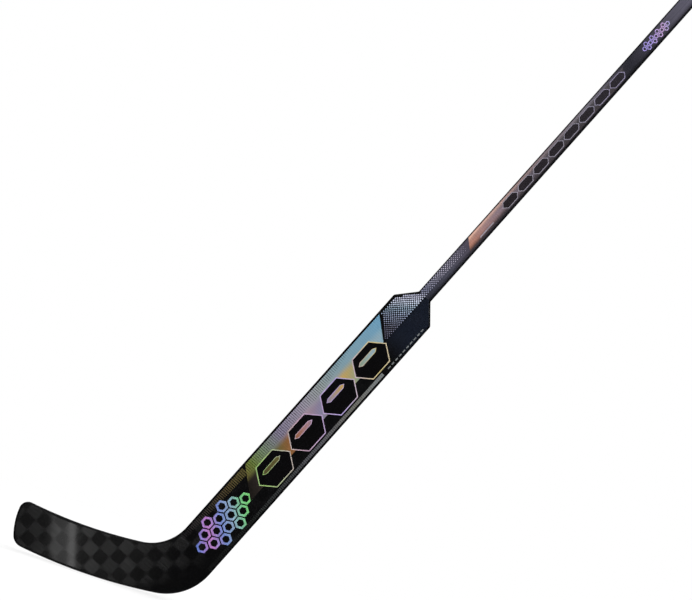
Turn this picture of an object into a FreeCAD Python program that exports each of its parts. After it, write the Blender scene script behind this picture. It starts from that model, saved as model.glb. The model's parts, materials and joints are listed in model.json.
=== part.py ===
import FreeCAD, Part
import math
import os

from FreeCAD import Placement, Rotation, Vector

# A goalie stick in its playing pose, in millimetres and degrees. The ice is Z = 0, the toe points
# to -X, the shaft rises towards +X and the front face looks to -Y. The origin is where the sole
# touches the ice, in the middle of the paddle's thickness. Lengths along the stick start at the
# heel, the point where the line of the paddle's heel-side edge meets the ice.

# Outline, seen square to the front face
LIE_ANGLE = 113.5  # between the sole and the shaft, on the blade's side
STICK_LENGTH = 1540.0  # heel to the butt's end
PADDLE_WIDTH = 88.9
SHOULDER_HEIGHT = 682.0  # heel to the shoulders' corners
SHOULDER_LENGTH = 34.5  # shoulders' corners to the foot of the shaft
SHOULDER_SOFTENING = 1.5  # corner radius beyond that of the edges
SHAFT_WIDTH = 28.4
NECK_RADIUS = 6.0  # hollow corner between a shoulder and the shaft
BLADE_LENGTH = 339.4  # heel to the toe's end
BLADE_HEIGHT = 83.5  # ice to the lowest point of the top edge
SOLE_RADIUS = 1087.0
SOLE_CONTACT = 176.5  # heel to where the sole touches the ice
TOP_EDGE_RADIUS = 917.0
TOP_EDGE_LOW = 194.0  # heel to the lowest point of the top edge
TOE_RADIUS = 129.5
TOE_CENTRE_HEIGHT = 63.0
TOE_TOP_RADIUS = 17.0
TOE_SOLE_RADIUS = 23.0
HEEL_RADIUS = 105.0
THROAT_RADIUS = 85.0  # hollow corner between the blade's top edge and the paddle

# Section and curve
THICKNESS = 20.5  # shaft, paddle and heel, front face to back face
TOE_THICKNESS = 13.0
EDGE_RADIUS = 4.5
CURVE_START = 75.0  # heel to the start of the blade's curve
CURVE_DEPTH = 20.0  # how far the middle of the toe is set back
CURVE_LEAN = 18.0  # lean of the curve's axis towards the toe, which opens the face

# Laminates, bond lines and joints
SKIN = 1.2  # laminate of the paddle and the blade
SHAFT_WALL = 1.5
BOND = 0.2  # glue line between bonded pieces
HEEL_JOINT = 112.0  # heel to the seam between blade and paddle
TONGUE_WIDTH = 56.0
TONGUE_DEPTH = 12.0
TONGUE_WALL = 1.5
TONGUE_CORNER = 3.0
TONGUE_IN_BLADE = 70.0
TONGUE_IN_PADDLE = 90.0
SPIGOT_WALL = 1.5
SPIGOT_IN_PADDLE = 120.0
SPIGOT_IN_SHAFT = 100.0
WEB_THICKNESS = 1.6
RIB_THICKNESS = 1.6
CHEEK_DROP = 50.0  # shoulders' corners down to the foot of the cheeks
CHEEK_TOP = 12.0  # foot of the shaft down to the top of the cheeks
FOAM_STOP_LENGTH = 40.0
BUTT_HEAD = 6.0
BUTT_ROUNDING = 2.5
BUTT_SHANK = 42.0
BUTT_WALL = 2.0
BUTT_CLEARANCE = 0.15

# Foil films
FILM = 0.15
FOIL_MARGIN = 0.9  # flat left bare beside a foil
FOIL_SLANT = 40.0  # slope of the foils' ends across the stick
PADDLE_FOIL_RISE = 114.0  # heel seam to the paddle foil's low end
PADDLE_FOIL_DROP = 46.0  # shoulders' corners down to the paddle foil's high end
PADDLE_FOIL_WIDTH = 50.0  # from the flat's toe-side margin
SHAFT_FOIL_RISE = 115.5  # foot of the shaft to the shaft foil's low end
SHAFT_FOIL_LENGTH = 438.0

ACROSS_AXIS = Vector(math.cos(math.radians(LIE_ANGLE - 90)), 0, -math.sin(math.radians(LIE_ANGLE - 90)))
DEPTH_AXIS = Vector(0, 1, 0)
HEEL = Vector(SOLE_CONTACT, 0, 0)

# The stick's own frame: X across towards the heel side, Y to the back, Z along from the heel
stick_frame = Placement(HEEL - ACROSS_AXIS * (PADDLE_WIDTH / 2), Rotation(DEPTH_AXIS, LIE_ANGLE - 90))
# The curve's frame: X towards the heel, Y to the back, Z along the straight lines of the curved faces
curve_frame = Placement(HEEL, Rotation(DEPTH_AXIS, -CURVE_LEAN))

# How far the cutting tools reach, and how much shaft is left on the paddle until it is cut off square
reach = STICK_LENGTH
stub_length = 2 * SHAFT_WIDTH

neck = SHOULDER_HEIGHT + SHOULDER_LENGTH
tube_end = STICK_LENGTH - BUTT_HEAD
bore_width = SHAFT_WIDTH - 2 * SHAFT_WALL
bore_depth = THICKNESS - 2 * SHAFT_WALL
bore_corner = EDGE_RADIUS - SHAFT_WALL
core_inset = SKIN + BOND
toe_in_curve = BLADE_LENGTH * math.cos(math.radians(CURVE_LEAN))
toe_in_curve -= TOE_CENTRE_HEIGHT * math.sin(math.radians(CURVE_LEAN))
curve_run = toe_in_curve - CURVE_START


def on_stick(across, along, depth=0.0):
    return stick_frame.multVec(Vector(across, depth, along))


# A straight bar along the stick's centre line, with rounded long edges
def bar(width, depth, low, high, corner=0.0):
    block = Part.makeBox(width, depth, high - low, Vector(-width / 2, -depth / 2, low))
    if corner > 0:
        block = block.makeFillet(corner, [e for e in block.Edges if abs(e.tangentAt(0).z) > 0.5])
    block.Placement = stick_frame
    return block


# All that lies between two lengths along the stick
def stretch(low, high):
    return bar(reach, reach, low, high)


# All that lies on one side of the centre line
def side_of_centre(toe_side):
    block = Part.makeBox(reach, reach, 2 * reach, Vector(-reach if toe_side else 0, -reach / 2, -reach))
    block.Placement = stick_frame
    return block


# An arc of a circle's shorter way round between two of its points
def arc_on(circle, start, end):
    middle = (start + end) * 0.5 - circle.Center
    middle.normalize()
    return Part.Arc(start, circle.Center + middle * circle.Radius, end).toShape()


def crossing(curve, other, rank):
    points = [Vector(p.X, p.Y, p.Z) for p in curve.intersectCC(other)]
    return min(points, key=rank)


def leftmost(point):
    return point.x


def lowest(point):
    return point.z


# The point of a circle that lies towards, or past, another point
def touch(circle, point):
    direction = point - circle.Center
    direction.normalize()
    return circle.Center + direction * circle.Radius


# The circle that rounds the corner between the toe and a long edge of the blade. The blade lies
# inside the toe's circle, and beside the edge's circle where the offset centre line runs.
def toe_corner(toe, edge, edge_offset, radius):
    inside_toe = Part.Circle(toe.Center, DEPTH_AXIS, toe.Radius - radius)
    beside_edge = Part.Circle(edge.Center, DEPTH_AXIS, edge.Radius + edge_offset)
    return Part.Circle(crossing(inside_toe, beside_edge, leftmost), DEPTH_AXIS, radius)


# The front view of blade, paddle, shoulders and a stub of the shaft, as a face at Y = 0
def outline():
    sole = Part.Circle(Vector(0, 0, SOLE_RADIUS), DEPTH_AXIS, SOLE_RADIUS)
    top_low = Vector(SOLE_CONTACT - TOP_EDGE_LOW, 0, BLADE_HEIGHT + TOP_EDGE_RADIUS)
    top_edge = Part.Circle(top_low, DEPTH_AXIS, TOP_EDGE_RADIUS)
    toe_centre = Vector(SOLE_CONTACT - BLADE_LENGTH + TOE_RADIUS, 0, TOE_CENTRE_HEIGHT)
    toe = Part.Circle(toe_centre, DEPTH_AXIS, TOE_RADIUS)
    half_paddle = PADDLE_WIDTH / 2
    half_shaft = SHAFT_WIDTH / 2
    heel_side = Part.Line(on_stick(half_paddle, 0), on_stick(half_paddle, SHOULDER_HEIGHT))
    toe_side = Part.Line(on_stick(-half_paddle, 0), on_stick(-half_paddle, SHOULDER_HEIGHT))

    heel_corner = crossing(sole, heel_side, lowest)
    throat = crossing(top_edge, toe_side, lowest)
    toe_top = toe_corner(toe, top_edge, TOE_TOP_RADIUS, TOE_TOP_RADIUS)
    toe_sole = toe_corner(toe, sole, -TOE_SOLE_RADIUS, TOE_SOLE_RADIUS)
    heel_shoulder = on_stick(half_paddle, SHOULDER_HEIGHT)
    toe_shoulder = on_stick(-half_paddle, SHOULDER_HEIGHT)
    heel_neck = on_stick(half_shaft, neck)
    toe_neck = on_stick(-half_shaft, neck)
    stub = [on_stick(half_shaft, neck + stub_length), on_stick(-half_shaft, neck + stub_length)]

    straight = [heel_corner, heel_shoulder, heel_neck] + stub + [toe_neck, toe_shoulder, throat]
    edges = [Part.makeLine(a, b) for a, b in zip(straight, straight[1:])]
    upper = [touch(top_edge, toe_top.Center), touch(toe, toe_top.Center)]
    lower = [touch(toe, toe_sole.Center), touch(sole, toe_sole.Center)]
    edges.append(arc_on(top_edge, throat, upper[0]))
    edges.append(arc_on(toe_top, *upper))
    edges.append(arc_on(toe, upper[1], lower[0]))
    edges.append(arc_on(toe_sole, *lower))
    edges.append(arc_on(sole, lower[1], heel_corner))
    sheet = Part.Face(Part.Wire(edges)).extrude(DEPTH_AXIS)

    shoulder_radius = EDGE_RADIUS + SHOULDER_SOFTENING
    corners = [
        (heel_corner, HEEL_RADIUS),
        (throat, THROAT_RADIUS),
        (heel_shoulder, shoulder_radius),
        (toe_shoulder, shoulder_radius),
        (heel_neck, NECK_RADIUS),
        (toe_neck, NECK_RADIUS),
    ]
    for point, radius in corners:
        upright = [e for e in sheet.Edges if abs(e.tangentAt(e.FirstParameter).y) > 0.5]
        corner = min(upright, key=lambda e: e.CenterOfMass.distanceToPoint(point))
        sheet = sheet.makeFillet(radius, [corner])
    return next(f for f in sheet.Faces if abs(f.CenterOfMass.y) < 1e-6)


# One side of a blade section: straight from the paddle to the curve's start, then an arc to the toe.
# The shift moves it square to itself, to the back where it is positive.
def section_side(depth, toe_depth, shift):
    rise = toe_depth - depth
    radius = (curve_run**2 + rise**2) / (2 * rise)
    centre = Vector(-CURVE_START, depth + radius, 0)
    radius -= shift

    def point(run):
        drop = math.copysign(math.sqrt(radius**2 - run**2), radius)
        return centre + Vector(-run, -drop, 0)

    past_toe = curve_run + THICKNESS
    flat = point(0)
    arc = Part.Arc(flat, point(past_toe / 2), point(past_toe))
    return Vector(reach, flat.y, 0), flat, arc.toShape(), point(past_toe)


front_face = (-THICKNESS / 2, CURVE_DEPTH - TOE_THICKNESS / 2)
middle = (0.0, CURVE_DEPTH)
back_face = (THICKNESS / 2, CURVE_DEPTH + TOE_THICKNESS / 2)


# All that lies between two section sides
def slab(near, near_shift, far, far_shift):
    near_far_end, near_flat, near_arc, near_toe = section_side(*near, near_shift)
    far_far_end, far_flat, far_arc, far_toe = section_side(*far, far_shift)
    edges = [
        Part.makeLine(near_far_end, near_flat),
        near_arc,
        Part.makeLine(near_toe, far_toe),
        far_arc,
        Part.makeLine(far_flat, far_far_end),
        Part.makeLine(far_far_end, near_far_end),
    ]
    solid = Part.Face(Part.Wire(edges)).extrude(Vector(0, 0, 2 * reach))
    solid.translate(Vector(0, 0, -reach))
    solid.Placement = curve_frame.multiply(solid.Placement)
    return solid


front_half = slab(middle, -reach / 4, middle, 0)
back_half = slab(middle, 0, middle, reach / 4)


# Blade, paddle and a stub of the shaft in one piece with rounded edges, taken in all round
def blank(inset):
    plan = front_view.makeOffset2D(-inset) if inset else front_view
    prism = plan.extrude(DEPTH_AXIS * reach)
    prism.translate(DEPTH_AXIS * (-reach / 2))
    solid = prism.common(slab(front_face, inset, back_face, -inset)).Solids[0]

    def is_side(face):
        u_low, u_high, v_low, v_high = face.ParameterRange
        return abs(face.normalAt((u_low + u_high) / 2, (v_low + v_high) / 2).y) < 0.5

    rims = []
    for edge in solid.Edges:
        sides = [is_side(face) for face in solid.ancestorsOfType(edge, Part.Face)]
        if len(sides) == 2 and sides[0] != sides[1]:
            rims.append(edge)
    return solid.makeFillet(EDGE_RADIUS - inset, rims)


front_view = outline()
outer = blank(0)
cavity = blank(SKIN)
core = blank(core_inset)
shell = outer.cut(cavity)
blade_end = -reach / 2

parts = {}


# Blade: two skins, foam above and below a rib, and the heel's foam
def make_blade():
    blade_shell = shell.common(stretch(blade_end, HEEL_JOINT))
    parts["blade_front_skin"] = blade_shell.common(front_half)
    parts["blade_back_skin"] = blade_shell.common(back_half)

    def beside_curve(start):
        block = Part.makeBox(reach, reach, reach, Vector(start, -reach / 2, -reach / 2))
        block.Placement = curve_frame
        return block

    past_curve = beside_curve(-reach - CURVE_START - BOND)
    before_curve = beside_curve(-CURVE_START)

    def above(radius):
        start = Vector(0, -reach / 2, SOLE_RADIUS)
        return Part.makeCylinder(radius, reach, start, DEPTH_AXIS)

    rib_radius = SOLE_RADIUS - BLADE_HEIGHT / 2
    half_rib = RIB_THICKNESS / 2
    blade_core = core.common(past_curve)
    parts["blade_core_upper"] = blade_core.common(above(rib_radius - half_rib - BOND))
    parts["blade_core_lower"] = blade_core.cut(above(rib_radius + half_rib + BOND))
    rib = blade_core.common(above(rib_radius + half_rib))
    parts["blade_core_rib"] = rib.cut(above(rib_radius - half_rib))
    heel = core.common(before_curve).common(stretch(blade_end, HEEL_JOINT))
    parts["heel_core"] = heel.cut(tongue_bar(BOND))


# The hollow tongue in the heel seam, grown all round for its pocket
def tongue_bar(grow):
    return bar(
        TONGUE_WIDTH + 2 * grow,
        TONGUE_DEPTH + 2 * grow,
        HEEL_JOINT - TONGUE_IN_BLADE - grow,
        HEEL_JOINT + TONGUE_IN_PADDLE + grow,
        TONGUE_CORNER + grow,
    )


def make_tongue():
    inside = bar(
        TONGUE_WIDTH - 2 * TONGUE_WALL,
        TONGUE_DEPTH - 2 * TONGUE_WALL,
        HEEL_JOINT - TONGUE_IN_BLADE,
        HEEL_JOINT + TONGUE_IN_PADDLE,
        TONGUE_CORNER - TONGUE_WALL,
    )
    parts["heel_tongue"] = tongue_bar(0).cut(inside)


# Paddle: two skins, foam either side of a web, and cheeks that hold the spigot in the shoulders
def make_paddle():
    paddle_shell = shell.common(stretch(HEEL_JOINT, neck))
    parts["paddle_front_skin"] = paddle_shell.common(front_half)
    parts["paddle_back_skin"] = paddle_shell.common(back_half)

    core_depth = THICKNESS - 2 * core_inset
    web_low = HEEL_JOINT + TONGUE_IN_PADDLE + BOND
    web_high = neck - SPIGOT_IN_PADDLE - BOND
    parts["paddle_core_web"] = bar(WEB_THICKNESS, core_depth, web_low, web_high)

    cheek_low = SHOULDER_HEIGHT - CHEEK_DROP
    spigot_pocket = bar(bore_width, THICKNESS, neck - SPIGOT_IN_PADDLE - BOND, neck)
    foam = core.common(stretch(HEEL_JOINT + BOND, cheek_low - BOND))
    foam = foam.cut(bar(WEB_THICKNESS + 2 * BOND, THICKNESS, HEEL_JOINT, neck))
    foam = foam.cut(tongue_bar(BOND)).cut(spigot_pocket)
    cheeks = core.common(stretch(cheek_low, neck - CHEEK_TOP)).cut(spigot_pocket)
    for side in ("toe_side", "heel_side"):
        half = side_of_centre(side == "toe_side")
        parts["paddle_core_" + side] = foam.common(half)
        parts["shoulder_cheek_" + side] = cheeks.common(half)


# Shaft: a tube on a spigot, stopped with foam and closed with a plug
def make_shaft():
    bore = bar(bore_width, bore_depth, neck, tube_end, bore_corner)
    parts["shaft_tube"] = bar(SHAFT_WIDTH, THICKNESS, neck, tube_end, EDGE_RADIUS).cut(bore)

    spigot_width = bore_width - 2 * BOND
    spigot_depth = bore_depth - 2 * BOND
    spigot_low = neck - SPIGOT_IN_PADDLE
    spigot_high = neck + SPIGOT_IN_SHAFT
    inside = bar(
        spigot_width - 2 * SPIGOT_WALL,
        spigot_depth - 2 * SPIGOT_WALL,
        spigot_low,
        spigot_high,
    )
    spigot = bar(spigot_width, spigot_depth, spigot_low, spigot_high, bore_corner - BOND)
    parts["shaft_spigot"] = spigot.cut(inside)

    stop_low = spigot_high + BOND
    stop_high = stop_low + FOAM_STOP_LENGTH
    parts["shaft_foam_stop"] = bar(spigot_width, spigot_depth, stop_low, stop_high, bore_corner - BOND)


def make_butt_plug():
    head = bar(SHAFT_WIDTH, THICKNESS, tube_end, STICK_LENGTH, EDGE_RADIUS)
    butt_end = on_stick(0, STICK_LENGTH)
    end_face = min(head.Faces, key=lambda f: f.CenterOfMass.distanceToPoint(butt_end))
    head = head.makeFillet(BUTT_ROUNDING, end_face.Edges)
    shank_width = bore_width - 2 * BUTT_CLEARANCE
    shank_depth = bore_depth - 2 * BUTT_CLEARANCE
    shank_low = tube_end - BUTT_SHANK
    shank = bar(shank_width, shank_depth, shank_low, tube_end, bore_corner - BUTT_CLEARANCE)
    hollow = bar(shank_width - 2 * BUTT_WALL, shank_depth - 2 * BUTT_WALL, shank_low, tube_end)
    parts["butt_plug"] = head.fuse(shank.cut(hollow)).removeSplitter()


# A film with slanted ends, on the front or the back face
def foil(toe_edge, heel_edge, low, high, on_front):
    slant = (heel_edge - toe_edge) * math.tan(math.radians(FOIL_SLANT))
    surface = -THICKNESS / 2 if on_front else THICKNESS / 2
    corners = [
        on_stick(toe_edge, low + slant, surface),
        on_stick(heel_edge, low, surface),
        on_stick(heel_edge, high - slant, surface),
        on_stick(toe_edge, high, surface),
    ]
    face = Part.Face(Part.makePolygon(corners + corners[:1]))
    return face.extrude(DEPTH_AXIS * (-FILM if on_front else FILM))


def make_foils():
    paddle_edge = EDGE_RADIUS + FOIL_MARGIN - PADDLE_WIDTH / 2
    paddle_low = HEEL_JOINT + PADDLE_FOIL_RISE
    paddle_high = SHOULDER_HEIGHT - PADDLE_FOIL_DROP
    shaft_edge = EDGE_RADIUS + FOIL_MARGIN - SHAFT_WIDTH / 2
    shaft_low = neck + SHAFT_FOIL_RISE
    shaft_high = shaft_low + SHAFT_FOIL_LENGTH
    for face in ("front", "back"):
        on_front = face == "front"
        paddle_foil = foil(paddle_edge, paddle_edge + PADDLE_FOIL_WIDTH, paddle_low, paddle_high, on_front)
        parts["paddle_%s_foil" % face] = paddle_foil
        parts["shaft_%s_foil" % face] = foil(shaft_edge, -shaft_edge, shaft_low, shaft_high, on_front)


make_blade()
make_tongue()
make_paddle()
make_shaft()
make_butt_plug()
make_foils()

os.makedirs("parts", exist_ok=True)
for name, shape in parts.items():
    solids = shape.Solids
    print("%-26s %d solid(s) %10.1f mm3 valid %s" % (name, len(solids), shape.Volume, shape.isValid()))
    solid = solids[0] if len(solids) == 1 else Part.makeCompound(solids)
    solid.exportStep("parts/%s.step" % name)
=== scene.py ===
import json
import math

import bmesh
import bpy
from mathutils import Matrix, Vector


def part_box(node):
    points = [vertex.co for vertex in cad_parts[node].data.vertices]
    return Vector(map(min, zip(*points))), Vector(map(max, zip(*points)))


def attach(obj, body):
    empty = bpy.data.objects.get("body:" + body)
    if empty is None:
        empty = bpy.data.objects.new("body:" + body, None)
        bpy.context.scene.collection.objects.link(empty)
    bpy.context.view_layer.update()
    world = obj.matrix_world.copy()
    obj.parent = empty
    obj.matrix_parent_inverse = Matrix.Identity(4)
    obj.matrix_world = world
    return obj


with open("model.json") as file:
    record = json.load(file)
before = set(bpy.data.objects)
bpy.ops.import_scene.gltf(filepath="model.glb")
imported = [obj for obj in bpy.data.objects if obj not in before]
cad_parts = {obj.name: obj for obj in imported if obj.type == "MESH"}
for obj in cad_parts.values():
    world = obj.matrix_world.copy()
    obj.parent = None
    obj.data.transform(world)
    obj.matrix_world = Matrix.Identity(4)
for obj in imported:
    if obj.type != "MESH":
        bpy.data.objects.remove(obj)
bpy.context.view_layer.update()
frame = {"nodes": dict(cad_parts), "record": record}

mm = 0.001
print("frame loaded:", len(frame["nodes"]), "solids")


# The stick's own axes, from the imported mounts: all artwork is placed in millimetres
# across the stick (towards its heel side) and along it (up from the heel corner).
mounts = {mount["name"]: mount for mount in frame["record"]["mounts"]}
alongStick = Vector(mounts["butt_face"]["axis"])
acrossStick = Vector(mounts["shaft_edge"]["axis"])
throughStick = Vector((0, 1, 0))  # from the front face to the back
stick = {
    "length": 1540.0,
    "paddleWidth": 88.9,
    "shaftWidth": 28.4,
    "edgeRound": 4.5,
    "shoulder": 682.0,  # where the paddle starts to slope in
    "neck": 716.5,  # where the slope meets the shaft
    "faceDepth": -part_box("paddle_front_skin")[0].y / mm,
}
heelCorner = Vector(mounts["butt_face"]["pos_m"]) - alongStick * stick["length"] * mm
stickTilt = math.atan2(alongStick.x, alongStick.z)
faces = {"Front": -1, "Back": 1}


def edgeGap(across, along):  # how far inside the side of the paddle, shoulder or shaft a spot lies
    wide, slim = stick["paddleWidth"] / 2, stick["shaftWidth"] / 2
    slope = stick["neck"] - stick["shoulder"]
    rise = min(max((along - stick["shoulder"]) / slope, 0.0), 1.0)
    level = wide + (slim - wide) * rise - abs(across)
    return level * slope / math.hypot(slope, wide - slim) if 0 < rise < 1 else level


def onFace(across, along, side, lift):  # a spot over the front or back, which falls away at its edges
    radius = stick["edgeRound"]
    over = min(max(radius - edgeGap(across, along), 0.0), radius)
    sag = radius - math.sqrt(radius ** 2 - over ** 2)
    depth = side * (stick["faceDepth"] + lift - sag)
    return heelCorner + (acrossStick * across + alongStick * along + throughStick * depth) * mm


def hexColor(code):  # sRGB hex to the linear colour that sockets take
    parts = [int(code[i:i + 2], 16) / 255 for i in (1, 3, 5)]
    linear = [c / 12.92 if c <= 0.04045 else ((c + 0.055) / 1.055) ** 2.4 for c in parts]
    return (*linear, 1.0)


def addNode(tree, kind, settings=None, inputs=None):
    node = tree.nodes.new(kind)
    for name, value in (settings or {}).items():
        if name == "stops":  # (position, hex colour) pairs of a ramp
            ramp = node.color_ramp.elements
            while len(ramp) < len(value):
                ramp.new(1.0)
            for stop, (position, code) in zip(ramp, value):
                stop.position = position
                stop.color = hexColor(code)
        else:
            setattr(node, name, value)
    for socket, value in (inputs or {}).items():
        if isinstance(value, bpy.types.NodeSocket):
            tree.links.new(value, node.inputs[socket])
        else:
            node.inputs[socket].default_value = value
    return node


def newFinish(name, values):  # a material with the shader's plain values set on its sockets
    finish = bpy.data.materials.new(name)
    finish.use_nodes = True
    tree = finish.node_tree
    shader = tree.nodes["Principled BSDF"]
    for socket, value in values.items():
        shader.inputs[socket].default_value = value
    return finish, tree, shader


lacquer = {"Coat Weight": 1.0, "Coat IOR": 1.5}  # clear gloss coat over all that shows but the plug
underLacquer = 0.03  # specular level of resin, paint or ink under lacquer of nearly the same index
noiseSpan = (0.3, 0.7)  # nearly all values of a noise texture
grainDetail = 3.0  # octaves of noise in mottle and grain


def stickPlace(tree):  # across, depth and along in millimetres, as one vector and apart as X, Y and Z
    spot = addNode(tree, "ShaderNodeTexCoord").outputs["Object"]
    place = addNode(tree, "ShaderNodeMapping", {"vector_type": "TEXTURE"}, {
        "Vector": spot, "Location": heelCorner, "Rotation": (0, stickTilt, 0),
        "Scale": (mm, mm, mm)}).outputs[0]
    return place, addNode(tree, "ShaderNodeSeparateXYZ", None, {0: place}).outputs


def onFlats(tree, edgeTurn):  # 1 on the flat faces, falling to 0 as the rounded edge turns away
    facing = addNode(tree, "ShaderNodeNewGeometry").outputs["Normal"]
    through = addNode(tree, "ShaderNodeSeparateXYZ", None, {0: facing}).outputs["Y"]
    flat = addNode(tree, "ShaderNodeMath", {"operation": "ABSOLUTE"}, {0: through}).outputs[0]
    return addNode(tree, "ShaderNodeMapRange", {"interpolation_type": "SMOOTHSTEP"}, {
        0: flat, 1: edgeTurn[0], 2: edgeTurn[1]}).outputs[0]


# Iridescent foil: metallised film under lacquer, whose colour drifts through the rainbow
# along the stick; faint bands square to the stick are the embossing roller's.
foilPrint = {
    "band": 4.17,
    "bandDepth": 0.1,
    "tickAt": 257.1,  # along, the middle of one of the roller's lines
    "lineSpan": (0.2, 0.6),  # how the roller's wave is cut to lines with soft sides
    "slope": math.tan(math.radians(40.0)),  # the slant of the film's ends
    "softStart": 1.0,  # over how much the rim colour beside the film starts
    "softEdge": 0.2,  # meets the film
    "softPrint": 0.3,  # and ends
    "cloudSpan": (0.25, 0.75),
    "cloudDetail": 1.0,
    "bump": (0.2, 0.02),  # strength, and depth in millimetres
}
paddleFoil = {
    "reach": (226.0, 636.0),  # along, where the colours start and end
    "toeEdge": -39.05,  # across, where the film ends
    "printEnd": -40.4,  # across, where its rim colour ends
    "toeEnds": (267.9, 636.0),  # along, its ends at the toe edge
    "endFade": 0.5,
    "tickDepth": 0.5,
    "drift": ((0.0, "#0b0a0c"), (0.09, "#2c2426"), (0.2, "#6f6838"), (0.33, "#a86a42"), (0.45, "#b98d96"),
              (0.55, "#9590b0"), (0.66, "#d9b25c"), (0.76, "#9bb096"), (0.86, "#a3bdc9"), (1.0, "#78b6d3")),
    "rim": ((0.0, "#635832"), (0.08, "#7a743d"), (0.13, "#758a41"), (0.2, "#809676"), (0.31, "#8f87a1"),
            (0.46, "#aba3b7"), (0.58, "#a5aeb0"), (0.72, "#90b0bd"), (1.0, "#78b0d2")),
    "rimReach": (-28.0, -12.0),  # across, from the rim's colours to the drift's
    "wander": 0.16,  # how far the colours stray, as a share of the reach
    "wanderSize": 120.0,
    "lean": 0.0018,  # how far they move for each millimetre across
    "darkSide": (4.0, 60.0),
    "dark": "#0d0c12",
}
shaftFoil = {
    "reach": (832.0, 1270.0),
    "toeEdge": -8.8,
    "printEnd": -12.8,
    "toeEnds": (846.8, 1245.0),
    "endFade": 40.0,
    "tickDepth": 0.0,
    "drift": ((0.0, "#c98a72"), (0.1, "#b58a86"), (0.22, "#93808c"), (0.38, "#6a6270"), (0.6, "#4c4a54"),
              (1.0, "#403e47")),
    "rim": ((0.0, "#d8a88e"), (0.1, "#cba296"), (0.24, "#ae928c"), (0.36, "#8c7776"), (0.52, "#776c71"),
            (0.78, "#6c6872"), (1.0, "#4a4852")),
    "rimReach": (-10.0, -4.0),
    "wander": 0.05,
    "wanderSize": 60.0,
    "lean": -0.004,
    "darkSide": (-2.0, 8.0),
    "dark": "#3a353e",
}


def rollerWave(tree, along):  # 1 in the middle of each of the roller's lines, -1 between them
    turns = 2 * math.pi / foilPrint["band"]
    beat = addNode(tree, "ShaderNodeMath", {"operation": "MULTIPLY_ADD"}, {
        0: along, 1: turns, 2: -turns * foilPrint["tickAt"]}).outputs[0]
    return addNode(tree, "ShaderNodeMath", {"operation": "COSINE"}, {0: beat}).outputs[0]


# Outside the film's toe edge its rim colour is printed on, as far as the rounded edge.
def besideFoil(tree, across, along, foil):
    low, high = foil["reach"]
    climb = addNode(tree, "ShaderNodeMapRange", None, {0: along, 1: low, 2: high}).outputs[0]
    colour = addNode(tree, "ShaderNodeValToRGB", {"stops": foil["rim"]}, {0: climb}).outputs[0]
    soft, full = foilPrint["lineSpan"]
    gap = addNode(tree, "ShaderNodeMapRange", None, {
        0: rollerWave(tree, along), 1: soft, 2: full, 3: 1.0, 4: 1 - foil["tickDepth"]}).outputs[0]
    ticked = addNode(tree, "ShaderNodeVectorMath", {"operation": "SCALE"}, {
        0: colour, "Scale": gap}).outputs[0]
    slanted = addNode(tree, "ShaderNodeMath", {"operation": "MULTIPLY_ADD"}, {
        0: across, 1: foilPrint["slope"], 2: along}).outputs[0]  # the film's ends run along its level lines
    first, last = (end + foilPrint["slope"] * foil["toeEdge"] for end in foil["toeEnds"])
    limits = (  # what is measured, where the print is bare and where it is full
        (slanted, first, first + foilPrint["softStart"]),
        (slanted, last + foil["endFade"], last - foil["endFade"]),
        (across, foil["toeEdge"] + foilPrint["softEdge"], foil["toeEdge"] - foilPrint["softEdge"]),
        (across, foil["printEnd"] - foilPrint["softPrint"], foil["printEnd"] + foilPrint["softPrint"]),
    )
    share = 1.0
    for spot, bare, full in limits:
        within = addNode(tree, "ShaderNodeMapRange", None, {0: spot, 1: bare, 2: full}).outputs[0]
        share = addNode(tree, "ShaderNodeMath", {"operation": "MULTIPLY"}, {0: share, 1: within}).outputs[0]
    return share, ticked


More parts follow.
